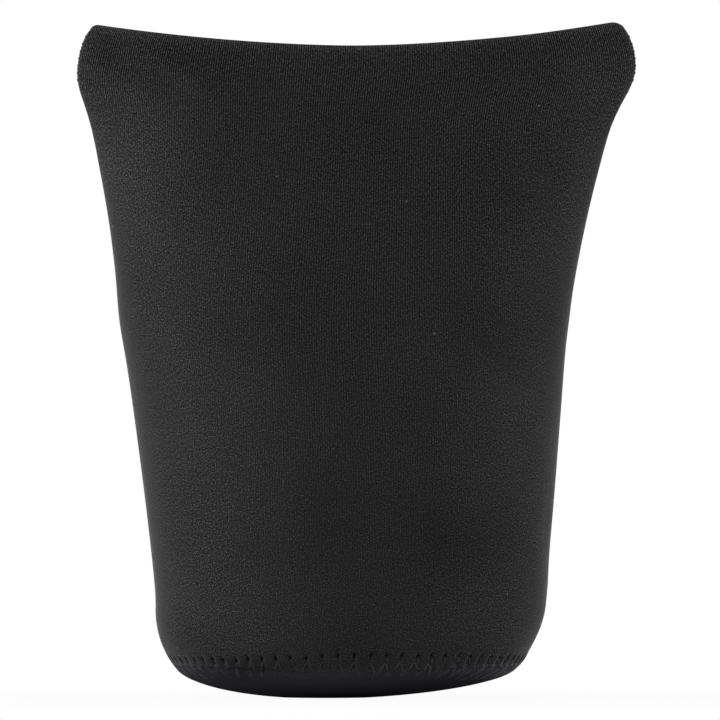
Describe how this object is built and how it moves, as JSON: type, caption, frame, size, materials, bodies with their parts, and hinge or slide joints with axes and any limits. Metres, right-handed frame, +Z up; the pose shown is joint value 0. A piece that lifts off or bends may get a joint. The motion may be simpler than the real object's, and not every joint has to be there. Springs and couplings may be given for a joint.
{
  "type": "lens pouch",
  "caption": "Soft black pouch of knit-faced foam rubber for a camera lens, with a round sewn-on base, a flared body and a flat mouth that springs shut between sewn corners.",
  "frame": {"origin": "middle of the flat foot under the base, on the table", "axes": "+Z up through the mouth, +X along the mouth to the right, +Y from the front to the back"},
  "size_m": [0.1234, 0.0857, 0.148],
  "materials": {
    "wall_knit": "black ribbed jersey with a soft sheen",
    "base_knit": "smooth black jersey, slightly blue",
    "lining_knit": "black jersey lining",
    "foam": "black closed-cell foam rubber, seen at the cut edge of the mouth",
    "thread": "black spun sewing thread"
  },
  "bodies": {
    "pouch": {"body_face": "wall_knit", "body_foam": "foam", "body_lining": "lining_knit", "base_face": "base_knit", "base_foam": "foam", "base_lining": "lining_knit", "base_needle_thread": "thread", "base_looper_thread": "thread", "back_seam_thread": "thread", "left_corner_tack": "thread", "right_corner_tack": "thread"},
    "front_lip": {"front_lip_face": "wall_knit", "front_lip_foam": "foam", "front_lip_lining": "lining_knit"},
    "back_lip": {"back_lip_left_face": "wall_knit", "back_lip_left_foam": "foam", "back_lip_left_lining": "lining_knit", "back_lip_right_face": "wall_knit", "back_lip_right_foam": "foam", "back_lip_right_lining": "lining_knit", "back_lip_seam_thread": "thread"}
  },
  "joints": [
    {"name": "front_lip_opens", "type": "hinge", "parent": "pouch", "child": "front_lip", "pos_m": [0, -0.03635, 0.068], "axis": [1, 0, 0], "range_deg": [0, 22], "stiffness_Nm_per_rad": 0.05},
    {"name": "back_lip_opens", "type": "hinge", "parent": "pouch", "child": "back_lip", "pos_m": [0, 0.03635, 0.068], "axis": [1, 0, 0], "range_deg": [-22, 0], "stiffness_Nm_per_rad": 0.05}
  ],
  "couplings": [
    {"joint": "back_lip_opens", "follows": "front_lip_opens", "ratio": -1}
  ]
}
